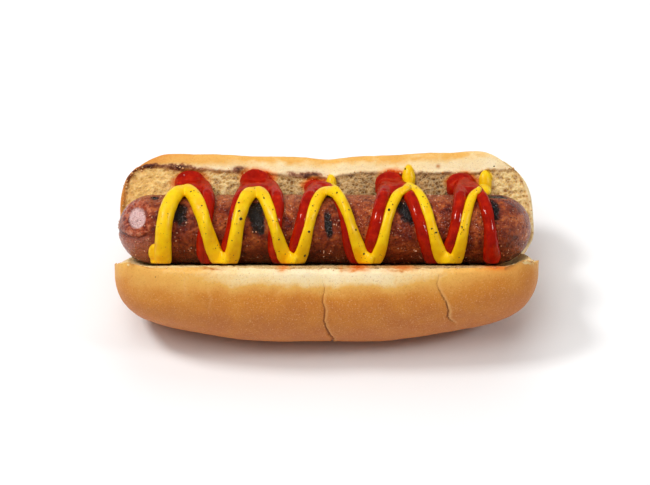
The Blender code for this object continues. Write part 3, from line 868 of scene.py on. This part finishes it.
# ---- sauces -------------------------------------------------------------------------------
ketchup = {
    "turns": ((-55.6, 16.5), (-50.6, 18.9), (-40.8, -12.9), (-26.1, 18.9), (-14.6, -12.9), (-3.1, 16.5),
              (13.6, -12.9), (23.6, 18.5), (41.3, -13.1), (50.4, 17.7), (60.7, -13.4)),
    # for each stroke: how far its middle runs ahead in x, and how far it bows to the right
    "swings": ((0.0, 0.0), (1.79, 2.5), (0.36, 0.5), (1.51, 2.4), (0.06, -0.1), (0.59, 2.0),
               (-0.17, -0.5), (0.20, 1.1), (0.06, 0.9), (0.40, 2.8)),
    # width at each turn and at the middle of each stroke
    "widths": (4.2, 5.0, 5.4, 4.6, 5.6, 5.0, 5.4, 4.6, 5.6, 4.9, 5.2, 4.7, 5.6, 5.0, 5.4, 4.8, 6.8,
               4.8, 5.2, 4.4, 7.8),
    "height": 0.56,                # of its width
    "plump": 0.35,                 # 0 a low dome, 1 a round bead
    "leavesAt": math.radians(70),  # where it leaves the sausage for the back crumb
    "voxel": 0.34,
    # blobs on the back crumb: x, up, half width, half height, how far it stands out
    "blobs": ((-50.6, 17.4, 6.0, 4.6, 3.2), (-47.4, 15.0, 4.6, 4.4, 6.0), (-52.0, 14.8, 4.6, 4.2, 6.2),
              (-26.4, 17.7, 6.0, 4.8, 3.2), (-27.0, 15.0, 4.8, 4.4, 6.2), (-22.8, 14.6, 4.2, 4.6, 6.2),
              (-4.0, 15.3, 4.6, 3.3, 3.2), (-3.8, 13.8, 4.4, 3.4, 6.0), (23.4, 17.0, 5.8, 4.6, 3.2),
              (23.6, 14.8, 5.8, 4.2, 6.2), (49.9, 17.0, 5.6, 4.2, 3.2), (50.2, 14.6, 5.8, 4.0, 6.2)),
    # webs over the gap between sausage and bread: x, up, half width, half length, thickness
    "webs": ((-49.8, 15.2, 4.6, 8.0, 2.4), (-25.2, 15.2, 4.6, 8.0, 2.4), (-3.4, 14.4, 3.8, 6.0, 2.2),
             (24.2, 15.2, 4.4, 8.0, 2.4), (50.8, 15.0, 4.4, 7.5, 2.4)),
    "relaxAbove": (12.5, 15.0, 48),    # where the blobs are relaxed into the strokes, and how often
    "flatAbove": (13.5, 18.0, 0.30),   # the stroke sinks into the blobs: where, and by how much
}
mustard = {
    "turns": ((-59.2, -14.2), (-51.5, 14.5), (-36.4, -13.2), (-25.3, 14.0), (-12.0, -12.7), (1.3, 14.6),
              (15.6, -12.5), (30.3, 15.2), (44.7, -13.0), (56.6, 15.0)),
    "swings": ((0.40, -2.9), (0.11, 0.8), (0.36, -1.1), (0.05, 0.0), (0.25, -1.0), (0.07, 0.5),
               (0.29, -1.5), (0.18, 0.1), (0.24, -1.2)),
    "widths": (6.4, 5.9, 5.8, 4.7, 6.8, 4.6, 5.2, 3.7, 6.6, 3.6, 4.4, 3.6, 6.4, 3.5, 4.2, 3.6, 6.4, 3.5, 3.2),
    "height": 0.72,
    "plump": 0.75,
    "leavesAt": math.radians(74),
    "voxel": 0.28,
    # the bead dips where it folds over at a peak, just before each even turn
    "foldDip": 0.24,
    "blobs": ((1.8, 16.8, 2.0, 3.5, 2.2), (30.5, 18.7, 2.6, 5.2, 2.4), (58.9, 17.0, 2.5, 5.0, 2.2)),
    # lobes on the sausage: x, up, half width, half length, how far each stands out
    "lobes": ((-61.7, -9.6, 2.6, 4.4, 2.0), (-60.4, -12.4, 3.5, 2.5, 3.8), (1.7, 15.2, 2.9, 5.5, 2.6),
              (30.3, 15.6, 2.7, 6.5, 2.8), (57.6, 15.0, 2.9, 5.5, 2.3)),
}
crumbFace = -(sausageRadius + bun["bedGap"])      # near of the back crumb, and up of the front one


def drape(x, s, height, leavesAt):
    # a flat drawing wrapped round the sausage: s runs up it from its front line, and past
    # leavesAt goes straight on to the back crumb; the bread stops it on both sides
    angle = np.minimum(s / sausageRadius, leavesAt)
    over = np.maximum(0.0, s - sausageRadius * leavesAt)
    radius = sausageRadius + height
    up = radius * np.sin(angle) + over * math.cos(leavesAt)
    near = radius * np.cos(angle) - over * math.sin(leavesAt)
    return x, np.maximum(up, crumbFace + 0.1), np.maximum(near, crumbFace - 0.1)


def levelOf(up, height, leavesAt):
    # the s at which something of this height shows at this up
    radius = sausageRadius + height
    onDrum = sausageRadius * np.arcsin(np.clip(up / radius, -1.0, 1.0))
    beyond = (up - radius * math.sin(leavesAt)) / math.cos(leavesAt)
    return np.where(beyond < 0.0, onDrum, sausageRadius * leavesAt + beyond)


def strokeLine(sauce, perStroke=60):
    # between two turns, up eases as a half cosine, and x runs evenly plus one sine that leads or
    # lags and one half sine that bows the stroke sideways
    turns = np.array(sauce["turns"])
    t = np.linspace(0.0, 1.0, perStroke, endpoint=False)
    xs, ups = [], []
    for (x0, up0), (x1, up1), (ahead, bow) in zip(turns, turns[1:], sauce["swings"]):
        xs.append(x0 + (x1 - x0) * (t + ahead * np.sin(2 * math.pi * t) / (2 * math.pi)) + bow * np.sin(math.pi * t))
        ups.append(up0 + (up1 - up0) * 0.5 * (1.0 - np.cos(math.pi * t)))
    x = np.append(np.concatenate(xs), turns[-1][0])
    up = np.append(np.concatenate(ups), turns[-1][1])
    turn = np.linspace(0.0, len(turns) - 1.0, len(x))
    width = np.interp(turn, np.linspace(0.0, len(turns) - 1.0, len(sauce["widths"])), sauce["widths"])
    return x, up, turn, width


def evenSteps(line, step):
    # the line's columns read again at equal steps of length
    table = np.stack(line, axis=-1)
    length = np.concatenate([[0.0], np.cumsum(np.linalg.norm(np.diff(table[:, :2], axis=0), axis=1))])
    wanted = np.linspace(0.0, length[-1], int(length[-1] / step) + 1)
    return [np.interp(wanted, length, column) for column in table.T]


def beadShape(x, s, width, rise, plump, ground, leavesAt):
    # a bead along (x, s): a ring of 28 points across it at each step, flat where it lies on the ground
    dx, ds = np.gradient(x), np.gradient(s)
    length = np.hypot(dx, ds)
    acrossX, acrossS = -ds / length, dx / length
    phi = np.linspace(0.0, 2.0 * math.pi, 28, endpoint=False)
    rounding = np.sqrt(np.clip(np.minimum(np.arange(len(x)), np.arange(len(x))[::-1]) / 6.0, 0.02, 1.0))
    side = 0.5 * (width * rounding)[:, None] * np.cos(phi)
    centre = 0.5 * plump * rise[:, None]
    top = np.where(np.sin(phi) > 0.0, rise[:, None] - centre, centre + 0.25)
    height = centre + top * np.sin(phi) * rounding[:, None]
    ringX = x[:, None] + side * acrossX[:, None]
    ringS = s[:, None] + side * acrossS[:, None]
    height = height + ground(ringX, ringS)
    return closedTube(toWorld(*drape(ringX, ringS, height, leavesAt)))


def ballGrid(rows=14, columns=28):
    # unit ball: sine and cosine of latitude and longitude
    latitude = np.linspace(0.08, math.pi - 0.08, rows)[:, None]
    longitude = np.linspace(0.0, 2.0 * math.pi, columns, endpoint=False)
    level = np.broadcast_to(np.cos(latitude), (rows, columns))
    return np.stack([np.sin(latitude) * np.cos(longitude), np.sin(latitude) * np.sin(longitude), level], axis=-1)


def blobShape(x, up, halfWide, halfTall, rise):
    # a flattened ball sunk into the back crumb
    ball = ballGrid()
    bulge = np.maximum(ball[..., 2] * rise, -0.5)
    return closedTube(toWorld(x + halfWide * ball[..., 0], up + halfTall * ball[..., 1], crumbFace + bulge))


def lobeShape(x, up, halfWide, halfTall, rise, leavesAt):
    # a flattened ball lying on the sausage
    ball = ballGrid()
    s = levelOf(up, 0.5 * rise, leavesAt) + halfTall * ball[..., 1]
    bulge = np.maximum(ball[..., 2] * rise, -0.3)
    return closedTube(toWorld(*drape(x + halfWide * ball[..., 0], s, bulge, leavesAt)))


def makeKetchup():
    x, up, turn, width = evenSteps(strokeLine(ketchup), 0.5)
    rise = ketchup["height"] * width * (1.0 + 0.10 * np.sin(1.7 * turn) * np.cos(4.3 * turn))
    flatFrom, flatBy, share = ketchup["flatAbove"]
    rise = rise * (1.0 - share * smoothStep(up, flatFrom, flatBy))
    s = levelOf(up, 0.4 * rise, ketchup["leavesAt"])
    flat = lambda ringX, ringS: np.zeros(ringX.shape)
    shapes = [beadShape(x, s, width, rise, ketchup["plump"], flat, ketchup["leavesAt"])]
    shapes += [blobShape(*blob) for blob in ketchup["blobs"]]
    shapes += [lobeShape(*web, ketchup["leavesAt"]) for web in ketchup["webs"]]
    piece = makePiece("ketchup_zigzag", *joinShapes(shapes))
    meltTogether(piece, ketchup["voxel"], 5)
    relaxAbove(piece, *ketchup["relaxAbove"])
    place = readPoints(piece) / mm
    pushOut(piece, 0.13 * roughNoise(place, 3.4, 301, 2) + 0.03 * softNoise(place, 1.1, 305))
    return piece, (x, s, width, rise)


def makeMustard(red):
    redX, redS, redWidth, redRise = red

    def overKetchup(ringX, ringS):
        # the ketchup's height under each point: its rise times a bell of the distance to its line
        lifted = np.zeros(ringX.size)
        for part in np.array_split(np.arange(ringX.size), 12):
            away = np.hypot(ringX.ravel()[part, None] - redX, ringS.ravel()[part, None] - redS)
            lifted[part] = np.max(0.80 * redRise * np.exp(-(away / (0.42 * redWidth)) ** 2), axis=1)
        return lifted.reshape(ringX.shape)

    x, up, turn, width = evenSteps(strokeLine(mustard), 0.45)
    toPeak = turn - (2.0 * np.round((turn - 1.0) / 2.0) + 1.0)       # 0 at each peak
    dip = mustard["foldDip"] * bell(toPeak + 0.035, 0.05)
    rise = mustard["height"] * width * (1.0 - dip)
    s = levelOf(up, 0.5 * rise, mustard["leavesAt"])
    lift = overKetchup(x[:, None], s[:, None])[:, 0]
    s = levelOf(up, 0.5 * rise + lift, mustard["leavesAt"])

    def ground(ringX, ringS):
        local = overKetchup(ringX, ringS)
        return 0.5 * local + 0.5 * lift[:, None]

    shapes = [beadShape(x, s, width, rise, mustard["plump"], ground, mustard["leavesAt"])]
    shapes += [blobShape(*blob) for blob in mustard["blobs"]]
    shapes += [lobeShape(*lobe, mustard["leavesAt"]) for lobe in mustard["lobes"]]
    piece = makePiece("mustard_zigzag", *joinShapes(shapes))
    meltTogether(piece, mustard["voxel"], 4)
    place = readPoints(piece) / mm
    pushOut(piece, 0.09 * roughNoise(place, 2.6, 311, 2))
    return piece, (x, up, turn)


def ketchupMaterial():
    material, tree, shader = newMaterial("ketchup_gloss")
    place = objectPlace(tree)
    cloud = noiseAt(tree, place, 3.0, 3.0)
    pulp = noiseAt(tree, place, 0.5, 3.0, 0.6)
    colour = rampOf(tree, cloud, ((0.3, tint(138, 12, 2)), (0.55, tint(167, 20, 2)), (0.75, tint(194, 40, 5))))
    colour = blend(tree, rescale(tree, pulp, 0.55, 0.8, 0.0, 0.3), colour, tint(214, 60, 12))
    lumps = noiseAt(tree, place, 1.5, 2.0, 0.5)
    normal = bumpFrom(tree, pulp, 0.10, 0.10, bumpFrom(tree, lumps, 0.35, 0.35))
    roughness = rescale(tree, cloud, 0.3, 0.7, 0.16, 0.26)
    # the gloss fades where the sauce is seen edge-on, so that it keeps its red there
    edgeOn = addNode(tree, "LayerWeight", {"Blend": 0.5}).outputs["Facing"]
    setSockets(tree, shader, {"Base Color": colour, "Roughness": roughness, "Normal": normal,
                              "Coat Normal": normal, "Coat Weight": rescale(tree, edgeOn, 0.35, 0.75, 0.55, 0.03)})
    shader.inputs["Specular IOR Level"].default_value = 0.02
    shader.inputs["Subsurface Weight"].default_value = 0.12
    shader.inputs["Subsurface Radius"].default_value = (0.003, 0.0004, 0.0002)
    shader.inputs["Coat Roughness"].default_value = 0.06
    return material


def mustardMaterial():
    material, tree, shader = newMaterial("mustard_paste")
    place = objectPlace(tree)
    cloud = noiseAt(tree, place, 4.0, 3.0)
    seed = noiseAt(tree, place, 0.35, 2.0, 0.6)
    colour = rampOf(tree, cloud, ((0.3, tint(236, 180, 0)), (0.55, tint(246, 200, 2)), (0.75, tint(252, 214, 8))))
    colour = blend(tree, rescale(tree, seed, 0.66, 0.76, 0.0, 0.35), colour, tint(186, 128, 4))
    normal = bumpFrom(tree, seed, 0.22, 0.2)
    roughness = rescale(tree, cloud, 0.3, 0.7, 0.34, 0.46)
    setSockets(tree, shader, {"Base Color": colour, "Roughness": roughness, "Normal": normal,
                              "Coat Normal": normal})
    shader.inputs["Specular IOR Level"].default_value = 0.3
    shader.inputs["Subsurface Weight"].default_value = 0.20
    shader.inputs["Subsurface Radius"].default_value = (0.004, 0.0025, 0.0004)
    shader.inputs["Coat Weight"].default_value = 0.15
    shader.inputs["Coat Roughness"].default_value = 0.2
    return material


ketchupPiece, redLine = makeKetchup()
ketchupPiece.data.materials.append(ketchupMaterial())
print("ketchup made:", len(ketchupPiece.data.vertices), "points")
mustardPiece, yellowLine = makeMustard(redLine)
mustardPiece.data.materials.append(mustardMaterial())
print("mustard made:", len(mustardPiece.data.vertices), "points")


# ---- pepper, crumbs and grease ------------------------------------------------------------
def randomTurns(rng, count):
    # rotation matrices from random unit quaternions
    q = rng.normal(size=(count, 4))
    w, x, y, z = (q / np.linalg.norm(q, axis=1, keepdims=True)).T
    rows = [[1 - 2 * (y * y + z * z), 2 * (x * y - z * w), 2 * (x * z + y * w)],
            [2 * (x * y + z * w), 1 - 2 * (x * x + z * z), 2 * (y * z - x * w)],
            [2 * (x * z - y * w), 2 * (y * z + x * w), 1 - 2 * (x * x + y * y)]]
    return np.moveaxis(np.array(rows), -1, 0)


def scatterLumps(name, centres, sizes, rng, uneven, rows=5, columns=7):
    # the same small ball at each centre, stretched, dented and turned at random
    grid = ballGrid(rows, columns)
    ball, faces = closedTube(grid)
    count = len(centres)
    stretch = rng.uniform(1.0 - uneven, 1.0 + uneven, (count, 1, 3))
    dents = rng.uniform(1.0 - 0.5 * uneven, 1.0 + 0.5 * uneven, (count, len(ball), 1))
    lumps = ball[None] * stretch * dents * np.asarray(sizes)[:, None, None] * mm
    lumps = np.einsum("nij,nmj->nmi", randomTurns(rng, count), lumps) + np.asarray(centres)[:, None, :]
    moved = [[corner + len(ball) * number for corner in face] for number in range(count) for face in faces]
    return makePiece(name, lumps.reshape(-1, 3), moved)


def treeOf(piece):
    return BVHTree.FromObject(piece, bpy.context.evaluated_depsgraph_get())


def hitsFacing(trees, x, up):
    # the first surface met from the viewer's side at each (x, up), with its normal
    start = toWorld(np.asarray(x), np.asarray(up), np.full(len(x), 60.0))
    direction = Vector(toWorld(0.0, 0.0, -1.0) - toWorld(0.0, 0.0, 0.0)).normalized()
    found = []
    for origin in start:
        hits = [tree.ray_cast(Vector(origin), direction) for tree in trees]
        hits = [(hit[3], number, hit[0], hit[1]) for number, hit in enumerate(hits) if hit[0] is not None]
        found.append(min(hits, key=lambda hit: hit[0])[1:] if hits else None)
    return found


pepper = {
    # larger flakes on the mustard, as x, up and size
    "flakes": ((-48.9, 13.3, 0.30), (-47.8, 13.7, 0.26), (-44.6, 8.2, 0.42), (-56.7, 5.4, 0.30),
               (-31.4, 9.3, 0.40), (-31.3, 6.4, 0.36), (-30.6, 3.6, 0.48), (-22.5, 11.1, 0.42),
               (-19.2, 6.8, 0.36), (-17.7, 2.5, 0.34), (-17.0, -3.9, 0.36), (-7.7, -9.7, 0.44),
               (-6.3, -1.1, 0.44), (-4.1, 6.4, 0.38), (-4.9, 8.2, 0.36), (-3.1, 12.2, 0.32),
               (3.8, 13.0, 0.36), (8.0, 6.8, 0.36), (10.5, -0.4, 0.40), (13.4, -9.0, 0.34),
               (24.3, 12.2, 0.32), (23.8, 8.6, 0.40), (22.4, 6.8, 0.44), (32.4, 14.8, 0.30),
               (34.7, 11.5, 0.34), (36.0, 7.9, 0.30), (37.7, 0.0, 0.30), (39.1, -1.4, 0.50),
               (48.4, 0.7, 0.40), (29.2, 22.3, 0.42), (62.3, 23.4, 0.30)),
    "dust": 170,                   # smaller grains along the mustard
    "dustSize": (0.08, 0.20),
}
looseCrumbs = {"count": 420, "size": (0.12, 0.42), "seed": 7}
grease = {"count": 620, "size": (0.10, 0.32), "seed": 9}


def makePepper(trees):
    rng = np.random.default_rng(5)
    x, up, turn = yellowLine
    chosen = rng.integers(0, len(x), pepper["dust"])
    dustX = x[chosen] + rng.normal(0.0, 1.1, pepper["dust"])
    dustUp = up[chosen] + rng.normal(0.0, 1.1, pepper["dust"])
    flakes = np.array(pepper["flakes"])
    sizes = np.concatenate([flakes[:, 2], rng.uniform(*pepper["dustSize"], pepper["dust"])])
    hits = hitsFacing(trees, np.concatenate([flakes[:, 0], dustX]), np.concatenate([flakes[:, 1], dustUp]))
    kept = [(hit[1] - hit[2] * 0.25 * mm * size, size) for hit, size in zip(hits, sizes)
            if hit and hit[0] != 1]
    return scatterLumps("pepper_flecks", [place for place, size in kept], [size for place, size in kept], rng, 0.45)


def makeCrumbs():
    rng = np.random.default_rng(looseCrumbs["seed"])
    weight = bunEdge / bunEdge.sum()
    chosen = rng.choice(len(bunEdge), looseCrumbs["count"], p=weight)
    sizes = rng.uniform(0.0, 1.0, len(chosen)) ** 2.5
    sizes = looseCrumbs["size"][0] + sizes * (looseCrumbs["size"][1] - looseCrumbs["size"][0])
    return scatterLumps("edge_crumbs", readPoints(bunPiece)[chosen], sizes, rng, 0.4)


def makeGrease():
    rng = np.random.default_rng(grease["seed"])
    points = readPoints(sausagePiece)
    x, up, near = fromWorld(points)
    burnt = np.empty(len(points), dtype=np.float32)
    sausagePiece.data.attributes["grill"].data.foreach_get("value", burnt)
    shown = np.flatnonzero((near > 1.0) & (burnt < 0.7) & (softNoise(points / mm, 5.0, 401) > -0.2))
    chosen = rng.choice(shown, grease["count"])
    sizes = grease["size"][0] + rng.uniform(0.0, 1.0, len(chosen)) ** 2.2 * (grease["size"][1] - grease["size"][0])
    return scatterLumps("grease_beads", points[chosen], sizes, rng, 0.2)


def simpleGrain(name, dark, light, roughness, grain):
    material, tree, shader = newMaterial(name)
    cloud = noiseAt(tree, objectPlace(tree), grain, 2.0)
    colour = rampOf(tree, cloud, ((0.35, dark), (0.65, light)))
    normal = bumpFrom(tree, cloud, 0.3, 0.1)
    rough = rescale(tree, cloud, 0.3, 0.7, roughness - 0.08, roughness + 0.08)
    setSockets(tree, shader, {"Base Color": colour, "Roughness": rough, "Normal": normal})
    return material, shader


def greaseGlintMaterial():
    # the beads are coloured pale so they show as glints on the grease: painted highlight
    material, shader = simpleGrain("grease_painted_glint", tint(190, 104, 64), tint(246, 206, 172), 0.12, 0.6)
    shader.inputs["Coat Weight"].default_value = 1.0
    shader.inputs["Coat Roughness"].default_value = 0.03
    return material


pepperPiece = makePepper([treeOf(mustardPiece), treeOf(sausagePiece), treeOf(ketchupPiece), treeOf(bunPiece)])
pepperPiece.data.materials.append(simpleGrain("black_pepper", tint(16, 12, 8), tint(62, 48, 26), 0.6, 0.3)[0])
crumbPiece = makeCrumbs()
crumbPiece.data.materials.append(simpleGrain("toasted_crumb", tint(206, 140, 70), tint(246, 214, 160), 0.75, 0.9)[0])
greasePiece = makeGrease()
greasePiece.data.materials.append(greaseGlintMaterial())
print("pepper, crumbs and grease scattered")


# ---- the frame ----------------------------------------------------------------------------
made = (
    (bunPiece, "bun", "bun"),
    (sausagePiece, "sausage", "sausage"),
    (ketchupPiece, "ketchup", "ketchup"),
    (mustardPiece, "mustard", "mustard"),
    (pepperPiece, "mustard", None),
    (crumbPiece, "bun", None),
    (greasePiece, "sausage", None),
)
for piece, slotName, node in made:
    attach(piece, "root")
    if node:
        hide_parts(node)


# ---- floor, light and camera --------------------------------------------------------------
studio = {
    "floorSize": 6.0,
    "world": 0.15,
    # softboxes: x, up and near of each in metres, its size, its power, and whether it shows in gloss
    "softboxes": {"key": ((-0.75, 0.85, 0.78), 0.28, 8.3, True),
                  "back": ((0.10, 0.95, -0.35), 0.22, 0.8, False),
                  "top": ((0.10, 1.05, 0.25), 0.90, 3.2, False),
                  "front": ((-0.32, 0.55, 1.08), 0.80, 7.0, False),
                  "right": ((0.95, 0.35, 0.75), 0.22, 3.0, True)},
}
shot = {
    "elevation": math.radians(45),
    "distance": 0.75,
    "lens": 113.8,
    "aside": -0.00055,             # of the point looked at, from the sausage's middle line
    "below": -0.00493,
}


def aimAt(item, target):
    item.rotation_euler = (Vector(target) - item.location).to_track_quat("-Z", "Y").to_euler()


def softbox(name, spot, size, power, glossy):
    light = bpy.data.lights.new(name, "AREA")
    light.shape = "SQUARE"
    light.size = size
    light.energy = power
    item = bpy.data.objects.new(name, light)
    item.visible_glossy = glossy
    x, up, near = np.array(spot) / mm
    item.location = toWorld(x, up, near)
    aimAt(item, (0.0, 0.0, mm * axisHeight))
    bpy.context.scene.collection.objects.link(item)


def makeStudio():
    half = 0.5 * studio["floorSize"]
    corners = np.array([(-half, -half, 0.0), (half, -half, 0.0), (half, half, 0.0), (-half, half, 0.0)])
    floor = makePiece("floor", corners - np.array([0.0, 0.0, 0.0002]), [[0, 1, 2, 3]])
    material, tree, shader = newMaterial("white_floor")
    shader.inputs["Base Color"].default_value = (0.93, 0.93, 0.93, 1.0)
    shader.inputs["Roughness"].default_value = 0.9
    floor.data.materials.append(material)
    world = bpy.data.worlds.new("studio")
    world.use_nodes = True
    sky = world.node_tree.nodes["Background"]
    sky.inputs["Color"].default_value = (1.0, 1.0, 1.0, 1.0)
    sky.inputs["Strength"].default_value = studio["world"]
    bpy.context.scene.world = world
    for name, settings in studio["softboxes"].items():
        softbox(name, *settings)


def makeCamera():
    camera = bpy.data.objects.new("camera", bpy.data.cameras.new("camera"))
    upwards = Vector((0.0, math.sin(shot["elevation"]), math.cos(shot["elevation"])))
    towards = Vector((0.0, -math.cos(shot["elevation"]), math.sin(shot["elevation"])))
    target = Vector((shot["aside"], 0.0, mm * axisHeight)) + upwards * shot["below"]
    camera.location = target + towards * shot["distance"]
    aimAt(camera, target)
    camera.data.lens = shot["lens"]
    camera.data.sensor_width = 36.0
    bpy.context.scene.collection.objects.link(camera)
    bpy.context.scene.camera = camera


makeStudio()
makeCamera()
bpy.context.scene.view_settings.view_transform = "Standard"
print("studio and camera set")
